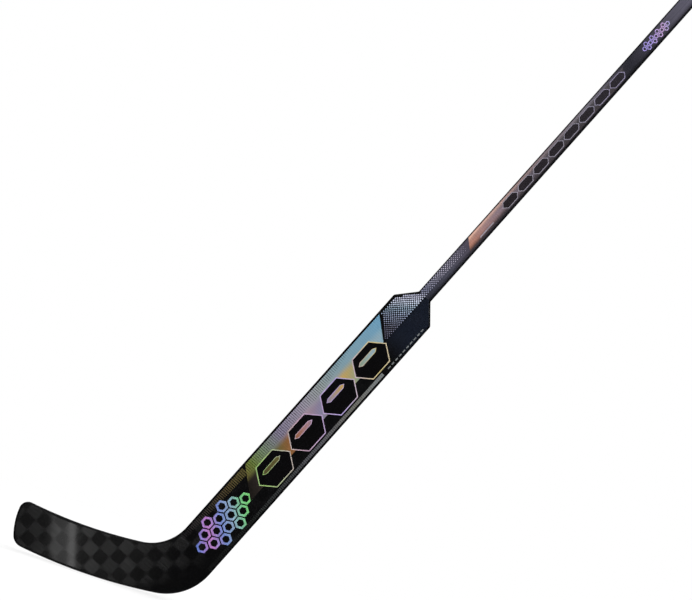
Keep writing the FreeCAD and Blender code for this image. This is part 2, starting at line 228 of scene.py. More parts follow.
def makeFoil(name, foil):
    finish, tree, shader = newFinish(name, {
        **lacquer, "Coat Roughness": 0.06, "Metallic": 0.35, "Roughness": 0.34,
        "Thin Film Thickness": 420.0, "Thin Film IOR": 1.4})
    place, apart = stickPlace(tree)
    across, along = apart["X"], apart["Z"]
    low, high = foil["reach"]
    rise = addNode(tree, "ShaderNodeMapRange", {"clamp": False}, {0: along, 1: low, 2: high}).outputs[0]
    # the colours stray in wide clouds and lean across the stick
    size = 1 / foil["wanderSize"]
    wide = addNode(tree, "ShaderNodeVectorMath", {"operation": "MULTIPLY"}, {
        0: place, 1: (size, 0, size)}).outputs[0]
    cloud = addNode(tree, "ShaderNodeTexNoise", None, {
        "Vector": wide, "Scale": 1.0, "Detail": foilPrint["cloudDetail"]}).outputs[0]
    low, high = foilPrint["cloudSpan"]
    shift = addNode(tree, "ShaderNodeMapRange", None, {
        0: cloud, 1: low, 2: high, 3: -foil["wander"] / 2, 4: foil["wander"] / 2}).outputs[0]
    leaning = addNode(tree, "ShaderNodeMath", {"operation": "MULTIPLY_ADD"}, {
        0: across, 1: foil["lean"], 2: shift}).outputs[0]
    spot = addNode(tree, "ShaderNodeMath", {"operation": "ADD", "use_clamp": True}, {
        0: rise, 1: leaning}).outputs[0]
    inner = addNode(tree, "ShaderNodeValToRGB", {"stops": foil["drift"]}, {0: spot}).outputs[0]
    outer = addNode(tree, "ShaderNodeValToRGB", {"stops": foil["rim"]}, {0: rise}).outputs[0]
    # from the rim's colours at the toe edge, through the drift's, to the dark heel side
    start, end = foil["rimReach"]
    inward = addNode(tree, "ShaderNodeMapRange", {"interpolation_type": "SMOOTHSTEP"}, {
        0: across, 1: start, 2: end}).outputs[0]
    hue = addNode(tree, "ShaderNodeMix", {"data_type": "RGBA"}, {0: inward, 6: outer, 7: inner}).outputs[2]
    start, end = foil["darkSide"]
    fade = addNode(tree, "ShaderNodeMapRange", {"interpolation_type": "SMOOTHSTEP"}, {
        0: across, 1: start, 2: end}).outputs[0]
    faded = addNode(tree, "ShaderNodeMix", {"data_type": "RGBA"}, {
        0: fade, 6: hue, 7: hexColor(foil["dark"])}).outputs[2]
    wave = rollerWave(tree, along)
    band = addNode(tree, "ShaderNodeMapRange", None, {
        0: wave, 1: -1.0, 2: 1.0, 3: 1.0, 4: 1 - foilPrint["bandDepth"]}).outputs[0]
    banded = addNode(tree, "ShaderNodeVectorMath", {"operation": "SCALE"}, {
        0: faded, "Scale": band}).outputs[0]
    tree.links.new(banded, shader.inputs["Base Color"])
    strength, deep = foilPrint["bump"]
    bump = addNode(tree, "ShaderNodeBump", None, {
        "Strength": strength, "Distance": deep * mm, "Height": wave})
    tree.links.new(bump.outputs[0], shader.inputs["Normal"])
    return finish


# Spread-tow carbon: flat 24 mm tapes plain-woven and moulded under clear gloss lacquer.
# Every other square catches the light, because its fibres run the other way; that sheen is painted into
# their lighter colour.
carbon = {
    "tape": 23.7,
    "litSquare": (-6.9, 12.8),  # across and along, the middle of one square that catches the light
    # painted sheen: the lit tape is the same cloth, given a lighter colour for the light its fibres catch
    "tapes": {"dim": "#181818", "lit": "#2e2e2e"},
    "softness": 0.2,  # where four tapes meet, their corners blend
    "climb": 0.5,  # how far the draped cloth rises for each millimetre that the blade curves back
    "squareTone": (0.75, 1.2),
    "streakTone": (0.7, 1.3),
    "fibreGap": 1.4,  # real fibres are 0.007 mm; drawn this coarse so that they show
    "fibreRun": 60.0,
    "bump": (0.25, 0.05),  # strength, and depth in millimetres
    # black of the paint on the paddle, and of the painted shade over the rounded edges, the low heel and the
    # toe
    "shadeAndPaintBlack": "#040405",
    "edgeTurn": (0.92, 0.99),  # how squarely a spot faces out where it is all black, a painted shade, and where it is bare
    # black paint over the paddle, and painted shade where the weave darkens towards the heel and the toe,
    # along the ice
    # from the heel corner: where it covers, where it ends, how much shows under it, and how far it moves
    # towards the heel for each millimetre up
    "shades": {
        "lit": (60.0, -120.0, 0.06, 0.0),
        "dim": (10.0, -120.0, 0.0, 0.0),
        # heel and toe: painted shade, darker over the low heel and the top of the toe
        "heel": (-12.0, -52.0, 0.08, 1.2),
        "toe": (-255.0, -225.0, 0.6, 0.23),
    },
    "navy": "#121722",
    "navyAlong": (585.0, 640.0),
    "navyAcross": (-6.0, 6.0),
}


def weaveSquares(tree, place, depth):  # which squares catch the light, and each square's own chance
    behind = addNode(tree, "ShaderNodeMath", {"operation": "ADD"}, {
        0: depth, 1: stick["faceDepth"]}).outputs[0]
    upward = Vector((acrossStick.z, 0, alongStick.z))
    climbed = addNode(tree, "ShaderNodeVectorMath", {"operation": "SCALE"}, {
        0: upward * -carbon["climb"], "Scale": behind}).outputs[0]
    draped = addNode(tree, "ShaderNodeVectorMath", {"operation": "ADD"}, {0: place, 1: climbed}).outputs[0]
    step = 1 / carbon["tape"]
    litAcross, litAlong = carbon["litSquare"]
    cells = addNode(tree, "ShaderNodeMapping", None, {  # one unit to a square, whose middle is at a half
        "Vector": draped, "Location": (0.5 - litAcross * step, 0.5, 1.5 - litAlong * step),
        "Scale": (step, 0, step)}).outputs[0]
    turns = addNode(tree, "ShaderNodeVectorMath", {"operation": "SCALE"}, {
        0: cells, "Scale": math.pi}).outputs[0]
    waves = addNode(tree, "ShaderNodeVectorMath", {"operation": "SINE"}, {0: turns}).outputs[0]
    wave = addNode(tree, "ShaderNodeSeparateXYZ", None, {0: waves}).outputs
    crossed = addNode(tree, "ShaderNodeMath", {"operation": "MULTIPLY"}, {
        0: wave["X"], 1: wave["Z"]}).outputs[0]
    lit = addNode(tree, "ShaderNodeMapRange", None, {
        0: crossed, 1: carbon["softness"], 2: -carbon["softness"]}).outputs[0]
    square = addNode(tree, "ShaderNodeVectorMath", {"operation": "FLOOR"}, {0: cells}).outputs[0]
    chance = addNode(tree, "ShaderNodeTexWhiteNoise", None, {"Vector": square}).outputs["Value"]
    return lit, chance


def paintAndShadeFade(tree, across, along, shade):  # how much of the weave shows under one fade: black paint up the paddle, painted shade at the heel and toe
    covered, bare, left, lean = shade
    sweep = Vector((1, 0, -lean))
    raised = addNode(tree, "ShaderNodeMath", {"operation": "MULTIPLY"}, {
        0: along, 1: sweep.dot(alongStick)}).outputs[0]
    onIce = addNode(tree, "ShaderNodeMath", {"operation": "MULTIPLY_ADD"}, {
        0: across, 1: sweep.dot(acrossStick), 2: raised}).outputs[0]
    return addNode(tree, "ShaderNodeMapRange", None, {
        0: onIce, 1: covered, 2: bare, 3: left, 4: 1.0}).outputs[0]


def makeCarbon():
    finish, tree, shader = newFinish("spreadTowCarbon", {
        **lacquer, "Coat Roughness": 0.07, "Roughness": 0.4, "IOR": 1.5,
        "Specular IOR Level": underLacquer, "Anisotropic": 0.5})
    place, apart = stickPlace(tree)
    across, depth, along = apart["X"], apart["Y"], apart["Z"]
    lit, chance = weaveSquares(tree, place, depth)
    # fibres run across the stick in the lit squares and along it in the others
    fine, run = 1 / carbon["fibreGap"], 1 / carbon["fibreRun"]
    threads = []
    for grain in ((fine, 0, run), (run, 0, fine)):
        stretched = addNode(tree, "ShaderNodeVectorMath", {"operation": "MULTIPLY"}, {
            0: place, 1: grain}).outputs[0]
        threads.append(addNode(tree, "ShaderNodeTexNoise", None, {
            "Vector": stretched, "Scale": 1.0}).outputs[0])
    thread = addNode(tree, "ShaderNodeMix", {"data_type": "FLOAT"}, {
        0: lit, 2: threads[0], 3: threads[1]}).outputs[0]
    # each tape's colour sinks at its own rate, under black paint up the paddle and painted shade towards the
    # heel
    black = hexColor(carbon["shadeAndPaintBlack"])
    shades = {name: paintAndShadeFade(tree, across, along, shade) for name, shade in carbon["shades"].items()}
    tapes = {name: addNode(tree, "ShaderNodeMix", {"data_type": "RGBA"}, {
        0: shades[name], 6: black, 7: hexColor(code)}).outputs[2] for name, code in carbon["tapes"].items()}
    # the lit squares take the lighter colour, a painted sheen under real anisotropic gloss
    colour = addNode(tree, "ShaderNodeMix", {"data_type": "RGBA"}, {
        0: lit, 6: tapes["dim"], 7: tapes["lit"]}).outputs[2]
    dull, bright = carbon["squareTone"]
    tone = addNode(tree, "ShaderNodeMapRange", None, {0: chance, 3: dull, 4: bright}).outputs[0]
    dull, bright = carbon["streakTone"]
    streak = addNode(tree, "ShaderNodeMapRange", None, {
        0: thread, 1: noiseSpan[0], 2: noiseSpan[1], 3: dull, 4: bright}).outputs[0]
    shade = addNode(tree, "ShaderNodeMath", {"operation": "MULTIPLY"}, {0: tone, 1: streak}).outputs[0]
    woven = addNode(tree, "ShaderNodeVectorMath", {"operation": "SCALE"}, {
        0: colour, "Scale": shade}).outputs[0]
    # painted shade: the rounded edges turn black where they turn away, and the low heel and the toe are
    # shaded darker
    flat = onFlats(tree, carbon["edgeTurn"])
    seen = flat
    for name in ("heel", "toe"):
        seen = addNode(tree, "ShaderNodeMath", {"operation": "MULTIPLY"}, {
            0: seen, 1: shades[name]}).outputs[0]
    faced = addNode(tree, "ShaderNodeMix", {"data_type": "RGBA"}, {0: seen, 6: black, 7: woven}).outputs[2]
    # the foil's rim colour is printed on beside it
    tint, rim = besideFoil(tree, across, along, paddleFoil)
    tinted = addNode(tree, "ShaderNodeMath", {"operation": "MULTIPLY"}, {0: tint, 1: flat}).outputs[0]
    rimmed = addNode(tree, "ShaderNodeMix", {"data_type": "RGBA"}, {0: tinted, 6: faced, 7: rim}).outputs[2]
    # the heel side of the shoulder is painted navy
    navy = flat
    for spot, (bare, full) in ((along, carbon["navyAlong"]), (across, carbon["navyAcross"])):
        within = addNode(tree, "ShaderNodeMapRange", {"interpolation_type": "SMOOTHSTEP"}, {
            0: spot, 1: bare, 2: full}).outputs[0]
        navy = addNode(tree, "ShaderNodeMath", {"operation": "MULTIPLY"}, {0: navy, 1: within}).outputs[0]
    painted = addNode(tree, "ShaderNodeMix", {"data_type": "RGBA"}, {
        0: navy, 6: rimmed, 7: hexColor(carbon["navy"])}).outputs[2]
    tree.links.new(painted, shader.inputs["Base Color"])
    # fibres along or across the stick bend the gloss that way
    lay = addNode(tree, "ShaderNodeMix", {"data_type": "VECTOR"}, {
        0: lit, 4: alongStick, 5: acrossStick}).outputs[1]
    tree.links.new(lay, shader.inputs["Tangent"])
    strength, deep = carbon["bump"]
    bump = addNode(tree, "ShaderNodeBump", None, {
        "Strength": strength, "Distance": deep * mm, "Height": thread})
    tree.links.new(bump.outputs[0], shader.inputs["Normal"])
    return finish


# Lacquered carbon tube: slate paint, navy at the neck and gunmetal towards the butt, lighter there partly as
# a painted reflection, with painted shade on the heel side and the rounded edges, and the fine long streaks
# of lengthwise fibre.
shaftCoat = {
    "reach": (700.0, 1500.0),
    # the tones grow lighter towards the butt, partly a painted reflection
    "tones": ((0.0, "#24252f"), (0.1, "#454552"), (0.22, "#4a434e"), (0.36, "#3a3439"), (0.62, "#34323a"),
              (0.73, "#26262d"), (0.8, "#3b3943"), (0.88, "#4f4d59"), (1.0, "#585665")),
    # painted shade: the rounded edges turn this dark where they turn away
    "edge": "#08080a",
    "edgeTurn": (0.7, 0.95),  # how squarely a spot faces out at full painted edge shade, and at none
    "heelSideShade": (3.0, 9.0, 0.5),  # painted shade on the heel side: from, to, and how much of the tone is left there
    # painted shade, darker still at the heel-side edge: from, to, and how much is left
    "heelEdgeShade": (8.8, 10.8, 0.15),
    "fibreGap": 1.1,  # far coarser than real fibres, so that they show
    "fibreRun": 120.0,
    "streakTone": (0.85, 1.15),
    "bump": (0.15, 0.03),  # strength, and depth in millimetres
}


def makeShaftCoat():
    finish, tree, shader = newFinish("lacqueredTubeCarbon", {
        **lacquer, "Coat Roughness": 0.08, "Roughness": 0.42, "IOR": 1.5,
        "Specular IOR Level": underLacquer})
    place, apart = stickPlace(tree)
    across, along = apart["X"], apart["Z"]
    low, high = shaftCoat["reach"]
    rise = addNode(tree, "ShaderNodeMapRange", None, {0: along, 1: low, 2: high}).outputs[0]
    tone = addNode(tree, "ShaderNodeValToRGB", {"stops": shaftCoat["tones"]}, {0: rise}).outputs[0]
    fine, run = 1 / shaftCoat["fibreGap"], 1 / shaftCoat["fibreRun"]
    stretched = addNode(tree, "ShaderNodeVectorMath", {"operation": "MULTIPLY"}, {
        0: place, 1: (fine, fine, run)}).outputs[0]
    fibre = addNode(tree, "ShaderNodeTexNoise", None, {"Vector": stretched, "Scale": 1.0}).outputs[0]
    dull, bright = shaftCoat["streakTone"]
    streak = addNode(tree, "ShaderNodeMapRange", None, {
        0: fibre, 1: noiseSpan[0], 2: noiseSpan[1], 3: dull, 4: bright}).outputs[0]
    streaked = addNode(tree, "ShaderNodeVectorMath", {"operation": "SCALE"}, {
        0: tone, "Scale": streak}).outputs[0]
    tint, rim = besideFoil(tree, across, along, shaftFoil)
    rimmed = addNode(tree, "ShaderNodeMix", {"data_type": "RGBA"}, {0: tint, 6: streaked, 7: rim}).outputs[2]
    # painted shade: black on the rounded edges, darker towards the heel side
    seen = onFlats(tree, shaftCoat["edgeTurn"])
    for start, end, left in (shaftCoat["heelSideShade"], shaftCoat["heelEdgeShade"]):
        darker = addNode(tree, "ShaderNodeMapRange", {"interpolation_type": "SMOOTHSTEP"}, {
            0: across, 1: start, 2: end, 3: 1.0, 4: left}).outputs[0]
        seen = addNode(tree, "ShaderNodeMath", {"operation": "MULTIPLY"}, {0: seen, 1: darker}).outputs[0]
    coat = addNode(tree, "ShaderNodeMix", {"data_type": "RGBA"}, {
        0: seen, 6: hexColor(shaftCoat["edge"]), 7: rimmed}).outputs[2]
    tree.links.new(coat, shader.inputs["Base Color"])
    strength, deep = shaftCoat["bump"]
    bump = addNode(tree, "ShaderNodeBump", None, {
        "Strength": strength, "Distance": deep * mm, "Height": fibre})
    tree.links.new(bump.outputs[0], shader.inputs["Normal"])
    return finish


# Blocked foils and screen inks: thin colour under lacquer that drifts along the stick,
# mottled a little; the foils shine, the inks stay flat.
prints = {
    "blockedLilacFoil": {  # fine pale lines, from lilac through green and gold to grey
        "reach": (120.0, 1400.0),
        "drift": ((0.0, "#b9c4e8"), (0.12, "#a9d07a"), (0.2, "#d3b0c6"), (0.28, "#c3b1ec"),
                  (0.36, "#e2d08e"), (0.44, "#c8c0e2"), (0.6, "#a09aa6"), (0.8, "#928e9e"),
                  (1.0, "#8f86b0")),
        "metallic": 0.25, "roughness": 0.35},
    "blockedRainbowFoil": {  # bright cells, from blue through pink to green
        "reach": (95.0, 245.0),
        "drift": ((0.0, "#6f86d6"), (0.22, "#c486cf"), (0.42, "#7f93d8"), (0.6, "#93aecb"),
                  (0.8, "#7fd08a"), (1.0, "#86e07a")),
        "metallic": 0.25, "roughness": 0.32},
    "blockedVioletFoil": {  # small soft violet cells
        "reach": (1300.0, 1400.0),
        "drift": ((0.0, "#9b8fd6"), (0.4, "#a99ae0"), (0.7, "#c9a6d8"), (1.0, "#93a2dc")),
        "metallic": 0.25, "roughness": 0.32},
    "blockedBronzeFoil": {  # dull bronze that stands out little from the black
        "reach": (70.0, 245.0),
        "drift": ((0.0, "#3a373b"), (0.4, "#443d35"), (0.7, "#54482d"), (1.0, "#5c5630")),
        "metallic": 0.25, "roughness": 0.35},
    "screenPrintBlack": {  # deep black on the paddle, charcoal on the shaft
        "reach": (120.0, 1400.0),
        "drift": ((0.0, "#030304"), (0.25, "#040305"), (0.5, "#030304"), (0.63, "#231e22"),
                  (1.0, "#29272d")),
        "metallic": 0.0, "roughness": 0.45},
    "screenPrintGrey": {  # from black low down to light grey
        "reach": (80.0, 570.0),
        "drift": ((0.0, "#111112"), (0.3, "#1d1f1e"), (0.5, "#3b3d3e"), (0.68, "#5a5a60"),
                  (0.88, "#6f6e68"), (1.0, "#777b7c")),
        "metallic": 0.1, "roughness": 0.4},
    "screenPrintSilver": {  # pale beads that catch the light, brightest on the shoulder
        "reach": (640.0, 840.0),
        "drift": ((0.0, "#6b6b80"), (0.16, "#98a4c0"), (0.24, "#9ab1c6"), (0.32, "#d8e2f8"),
                  (0.37, "#c8cae0"), (0.45, "#8a8da9"), (0.73, "#c0bacc"), (1.0, "#9791a7")),
        "lean": -0.9, "metallic": 0.2, "roughness": 0.35},
}
printing = {
    "lean": 0.7,  # how far the drift moves for each millimetre across, unless a print has its own
    "mottle": 8.333,  # size of a blotch
    "mottleTone": (0.88, 1.1),
}


def makePrint(name):
    ink = prints[name]
    finish, tree, shader = newFinish(name, {
        **lacquer, "Coat Roughness": 0.06, "Metallic": ink["metallic"], "Roughness": ink["roughness"],
        "Specular IOR Level": underLacquer})
    place, apart = stickPlace(tree)
    leaning = addNode(tree, "ShaderNodeMath", {"operation": "MULTIPLY_ADD"}, {
        0: apart["X"], 1: ink.get("lean", printing["lean"]), 2: apart["Z"]}).outputs[0]
    low, high = ink["reach"]
    rise = addNode(tree, "ShaderNodeMapRange", None, {0: leaning, 1: low, 2: high}).outputs[0]
    hue = addNode(tree, "ShaderNodeValToRGB", {"stops": ink["drift"]}, {0: rise}).outputs[0]
    mottle = addNode(tree, "ShaderNodeTexNoise", None, {
        "Vector": place, "Scale": 1 / printing["mottle"], "Detail": grainDetail}).outputs[0]
    dull, bright = printing["mottleTone"]
    tone = addNode(tree, "ShaderNodeMapRange", None, {
        0: mottle, 1: noiseSpan[0], 2: noiseSpan[1], 3: dull, 4: bright}).outputs[0]
    mottled = addNode(tree, "ShaderNodeVectorMath", {"operation": "SCALE"}, {
        0: hue, "Scale": tone}).outputs[0]
    tree.links.new(mottled, shader.inputs["Base Color"])
    return finish


# What lies inside the lay-up, and the moulded butt plug. Grain is in millimetres across, through and along
# the stick, and coarser than the real fibres, cells, beads and spark marks, so that it shows.
solids = {
    "bareCarbonLaminate": {  # satin black, streaked along its fibres
        "colours": ("#17181a", "#2b2c2f"), "grain": (1.43, 1.43, 33.3), "roughness": 0.55, "bump": 0.03},
    "rigidCoreFoam": {  # pale and matt, with open cells where it was cut
        "colours": ("#cdbf94", "#e3d8b4"), "grain": (1.11, 1.11, 1.11), "roughness": 0.9, "bump": 0.3},
    "syntacticFiller": {  # dull brown resin full of hollow beads
        "colours": ("#7b6a50", "#9a8868"), "grain": (2.0, 2.0, 2.0), "roughness": 0.8, "bump": 0.15},
    "mouldedPlugNylon": {  # matt black from a spark-eroded mould
        "colours": ("#151516", "#232325"), "grain": (0.714, 0.714, 0.714), "roughness": 0.6, "bump": 0.08},
}
solidBump = 0.5


def makeSolid(name):
    stock = solids[name]
    finish, tree, shader = newFinish(name, {"Roughness": stock["roughness"], "IOR": 1.5})
    grained = addNode(tree, "ShaderNodeVectorMath", {"operation": "DIVIDE"}, {
        0: stickPlace(tree)[0], 1: stock["grain"]}).outputs[0]
    grain = addNode(tree, "ShaderNodeTexNoise", None, {
        "Vector": grained, "Scale": 1.0, "Detail": grainDetail}).outputs[0]
    tone = addNode(tree, "ShaderNodeMapRange", None, {0: grain, 1: noiseSpan[0], 2: noiseSpan[1]}).outputs[0]
    dark, light = (hexColor(code) for code in stock["colours"])
    colour = addNode(tree, "ShaderNodeMix", {"data_type": "RGBA"}, {0: tone, 6: dark, 7: light}).outputs[2]
    tree.links.new(colour, shader.inputs["Base Color"])
    bump = addNode(tree, "ShaderNodeBump", None, {
        "Strength": solidBump, "Distance": stock["bump"] * mm, "Height": grain})
    tree.links.new(bump.outputs[0], shader.inputs["Normal"])
    return finish


finishes = {
    "spreadTowCarbon": makeCarbon(),
    "lacqueredTubeCarbon": makeShaftCoat(),
    "paddleFoilFilm": makeFoil("paddleFoilFilm", paddleFoil),
    "shaftFoilFilm": makeFoil("shaftFoilFilm", shaftFoil),
}
finishes.update({name: makePrint(name) for name in prints})
finishes.update({name: makeSolid(name) for name in solids})

nodeFinish = {
    "spreadTowCarbon": ("blade_front_skin", "blade_back_skin", "paddle_front_skin", "paddle_back_skin"),
    "lacqueredTubeCarbon": ("shaft_tube",),
    "bareCarbonLaminate": ("shaft_spigot", "heel_tongue", "paddle_core_web", "blade_core_rib"),
    "rigidCoreFoam": ("blade_core_upper", "blade_core_lower", "heel_core", "paddle_core_toe_side",
                      "paddle_core_heel_side", "shaft_foam_stop"),
    "syntacticFiller": ("shoulder_cheek_toe_side", "shoulder_cheek_heel_side"),
    "mouldedPlugNylon": ("butt_plug",),
    "paddleFoilFilm": ("paddle_front_foil", "paddle_back_foil"),
    "shaftFoilFilm": ("shaft_front_foil", "shaft_back_foil"),
}
for finishName, nodeNames in nodeFinish.items():
    for nodeName in nodeNames:
        slots = frame["nodes"][nodeName].data.materials
        slots.clear()
        slots.append(finishes[finishName])
print("finishes made:", len(finishes))


# Films: thin printed shapes standing on a face, each outline in (across, along) millimetres.
sunk = 0.1  # how far their foot goes into the face


def addFilm(mesh, outline, side, top, inner=None):
    loops = [outline] if inner is None else [outline, inner]
    low = [[mesh.verts.new(onFace(a, u, side, -sunk)) for a, u in loop] for loop in loops]
    high = [[mesh.verts.new(onFace(a, u, side, top)) for a, u in loop] for loop in loops]
    count = len(outline)
    for layer in (low, high):
        if inner is None:
            mesh.faces.new(layer[0])
        else:
            for i in range(count):
                j = (i + 1) % count
                mesh.faces.new((layer[0][i], layer[0][j], layer[1][j], layer[1][i]))
    for lower, upper in zip(low, high):
        for i in range(count):
            j = (i + 1) % count
            mesh.faces.new((lower[i], lower[j], upper[j], upper[i]))


def longHexagon(across, along, halfWidth, halfLength, point):  # a lozenge with pointed ends
    straight = halfLength - point
    corners = ((0, halfLength), (halfWidth, straight), (halfWidth, -straight),
               (0, -halfLength), (-halfWidth, -straight), (-halfWidth, straight))
    return [(across + a, along + u) for a, u in corners]


def inset(outline, width):  # the same convex outline, drawn in by one line width
    middle = Vector((sum(p[0] for p in outline), sum(p[1] for p in outline))) / len(outline)
    edges = []
    for i, corner in enumerate(outline):
        start, end = Vector(corner), Vector(outline[(i + 1) % len(outline)])
        run = (end - start).normalized()
        inward = Vector((-run.y, run.x))
        if inward.dot(middle - start) < 0:
            inward = -inward
        edges.append((start + inward * width, run))
    corners = []
    for i, (spot, run) in enumerate(edges):
        before, lead = edges[i - 1]
        cross = lead.x * run.y - lead.y * run.x
        reach = ((spot - before).x * run.y - (spot - before).y * run.x) / cross
        corners.append(tuple(before + lead * reach))
    return corners


def finishPiece(name, mesh, finishName, smooth=False):
    bmesh.ops.recalc_face_normals(mesh, faces=mesh.faces)
    data = bpy.data.meshes.new(name)
    mesh.to_mesh(data)
    mesh.free()
    for polygon in data.polygons:
        polygon.use_smooth = smooth
    data.materials.append(finishes[finishName])
    piece = bpy.data.objects.new(name, data)
    bpy.context.scene.collection.objects.link(piece)
    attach(piece, "root")


# Paddle: a chain of long hexagons over the foil, black inside a pale foil-blocked outline,
# with a slim slot left open in each so that the foil shows through.
paddleChain = {
    "from": 300.0,
    "pitch": 88.0,
    "count": 4,
    "across": 4.0,
    "halfWidth": 27.0,
    "halfLength": 42.6,
    "point": 20.0,
    "line": 1.7,
    "slotShift": -8.0,
    "slotWidth": 4.2,
    "slotLength": 24.0,
    "slotPoint": 7.0,
    "slotLine": 0.9,
    "inkTop": 0.2,
    "lineTop": 0.24,
}
for face, side in faces.items():
    ink, line = bmesh.new(), bmesh.new()
    for i in range(paddleChain["count"]):
        across, along = paddleChain["across"], paddleChain["from"] + i * paddleChain["pitch"]
        outer = longHexagon(across, along, paddleChain["halfWidth"], paddleChain["halfLength"],
                            paddleChain["point"])
        inside = inset(outer, paddleChain["line"])
        slot = longHexagon(across + paddleChain["slotShift"], along, paddleChain["slotWidth"],
                           paddleChain["slotLength"], paddleChain["slotPoint"])
        addFilm(line, outer, side, paddleChain["lineTop"], inside)
        addFilm(ink, inside, side, paddleChain["inkTop"], slot)
        addFilm(line, slot, side, paddleChain["lineTop"], inset(slot, paddleChain["slotLine"]))
    finishPiece("paddleHexInk" + face, ink, "screenPrintBlack")
    finishPiece("paddleHexLines" + face, line, "blockedLilacFoil")
print("paddle chain printed")


# Honeycombs: a patch of cells in rainbow foil low on the paddle, and a slim violet one high on the shaft.
# A cell is given by its radius, and its rows lie one and a half radii apart.
honeycombs = {
    "paddleHoneycomb": {
        "across": 1.0, "along": 164.0, "cell": 13.2, "rows": (1, 2, 3, 2, 3, 2, 1),
        "line": 4.0, "gap": 1.2, "top": 0.12, "foil": "blockedRainbowFoil"},
    "shaftHoneycomb": {
        "across": -1.2, "along": 1353.0, "cell": 5.2, "rows": (1, 2, 1, 2, 1, 2, 1, 2, 1),
        "line": 1.5, "gap": 0.5, "top": 0.12, "foil": "blockedVioletFoil"},
}


def addHoneycomb(mesh, comb, side):
    flat = comb["cell"] * math.sqrt(3) / 2
    for row, cells in enumerate(comb["rows"]):
        along = comb["along"] + (row - (len(comb["rows"]) - 1) / 2) * comb["cell"] * 1.5
        for i in range(cells):
            across = comb["across"] + (i - (cells - 1) / 2) * flat * 2
            cell = longHexagon(across, along, flat, comb["cell"], comb["cell"] / 2)
            outer = inset(cell, comb["gap"])
            addFilm(mesh, outer, side, comb["top"], inset(outer, comb["line"]))


for face, side in faces.items():
    for name, comb in honeycombs.items():
        mesh = bmesh.new()
        addHoneycomb(mesh, comb, side)
        finishPiece(name + face, mesh, comb["foil"])
print("honeycombs printed")


# Ticks square to the stick. Along the toe side bronze ones lead up to the foil and black ones cross it,
# all tapering inward; along the heel side a row of short grey ones ends in dashes.
tick = {"pitch": foilPrint["band"], "outer": -40.6, "tip": 0.4}
foilTicks = {"from": foilPrint["tickAt"], "to": 578.0, "reach": 17.0, "width": 1.0, "top": 0.19,
             "fadeOver": 120.0}
lowTicks = {"from": 92.3, "to": 267.0, "reach": (8.6, 15.0), "width": (0.7, 3.8), "tipShare": 0.6,
            "top": 0.08, "foilGap": 0.6}
heelTicks = {"from": 83.0, "to": 566.0, "inner": 34.2, "outer": 40.3, "width": (2.45, 3.8), "top": 0.08}
heelDashes = {"from": 577.0, "pitch": 10.0, "count": 10, "length": 6.4, "inner": 36.6, "outer": 38.8}


def tickRow(row):
    count = int((row["to"] - row["from"]) / tick["pitch"])
    return [row["from"] + i * tick["pitch"] for i in range(count)]


def tickSize(row, name, along):  # drifts from its value at the row's low end to that at the high end
    first, last = row[name]
    return first + (last - first) * (along - row["from"]) / (row["to"] - row["from"])


def addTick(mesh, start, end, along, width, tip, side, top):
    addFilm(mesh, [(start, along - width / 2), (end, along - tip / 2), (end, along + tip / 2),
                   (start, along + width / 2)], side, top)


for face, side in faces.items():
    mesh = bmesh.new()
    for along in tickRow(foilTicks):
        left = min(1.0, (foilTicks["to"] - along) / foilTicks["fadeOver"])
        width = tick["tip"] + (foilTicks["width"] - tick["tip"]) * left
        end = tick["outer"] + foilTicks["reach"] * left
        addTick(mesh, tick["outer"], end, along, width, tick["tip"], side, foilTicks["top"])
    finishPiece("toeSideTicks" + face, mesh, "screenPrintBlack")
    mesh = bmesh.new()
    for along in tickRow(lowTicks):
        width = tickSize(lowTicks, "width", along)
        foilEdge = paddleFoil["toeEdge"] + (paddleFoil["toeEnds"][0] - along) / foilPrint["slope"]
        end = min(tick["outer"] + tickSize(lowTicks, "reach", along), foilEdge - lowTicks["foilGap"])
        addTick(mesh, tick["outer"], end, along, width, width * lowTicks["tipShare"], side, lowTicks["top"])
    finishPiece("lowTicks" + face, mesh, "blockedBronzeFoil")
    mesh = bmesh.new()
    for along in tickRow(heelTicks):
        width = tickSize(heelTicks, "width", along)
        addTick(mesh, heelTicks["inner"], heelTicks["outer"], along, width, width, side, heelTicks["top"])
    for i in range(heelDashes["count"]):
        along, length = heelDashes["from"] + i * heelDashes["pitch"], heelDashes["length"]
        addTick(mesh, heelDashes["inner"], heelDashes["outer"], along, length, length, side,
                heelTicks["top"])
    finishPiece("heelSideTicks" + face, mesh, "screenPrintGrey")
print("edge ticks printed")


# Halftone dots: raised beads of silver ink on the toe side of the shoulder, in a grid that stands
# on its corner; up the shaft they shrink towards the heel side and die out.
halftone = {
    "pitch": 3.78,
    "from": 604.0,
    "to": 836.0,
    "shift": -0.6,  # across, of the middle column
    "largest": 1.6,
    "smallest": 0.45,
    "height": 0.3,
    "profile": ((0.86, 0.6), (0.5, 0.92)),  # a bead's rings, as shares of its radius and height
    "sides": 10,
    "border": 4.1,
    "shaftBorder": 2.6,
    "heelEnd": 2.0,
    "foilGap": 6.0,
    "glowAt": (-18.0, 706.0),  # the dots are largest here and shrink over the spread
    "spread": 140.0,
}


def addDot(mesh, across, along, radius, side):  # a low raised bead
    sides, height = halftone["sides"], halftone["height"]
    rings = []
    for share, lift in [(1.0, -sunk)] + [(share, height * rise) for share, rise in halftone["profile"]]:
        rings.append([mesh.verts.new(onFace(
            across + radius * share * math.cos(2 * math.pi * i / sides),
            along + radius * share * math.sin(2 * math.pi * i / sides),
            side, lift)) for i in range(sides)])
    crown = mesh.verts.new(onFace(across, along, side, height))
    for lower, upper in zip(rings, rings[1:]):
        for i in range(sides):
            j = (i + 1) % sides
            mesh.faces.new((lower[i], lower[j], upper[j], upper[i]))
    for i in range(sides):
        mesh.faces.new((rings[-1][i], rings[-1][(i + 1) % sides], crown))
    mesh.faces.new(rings[0])


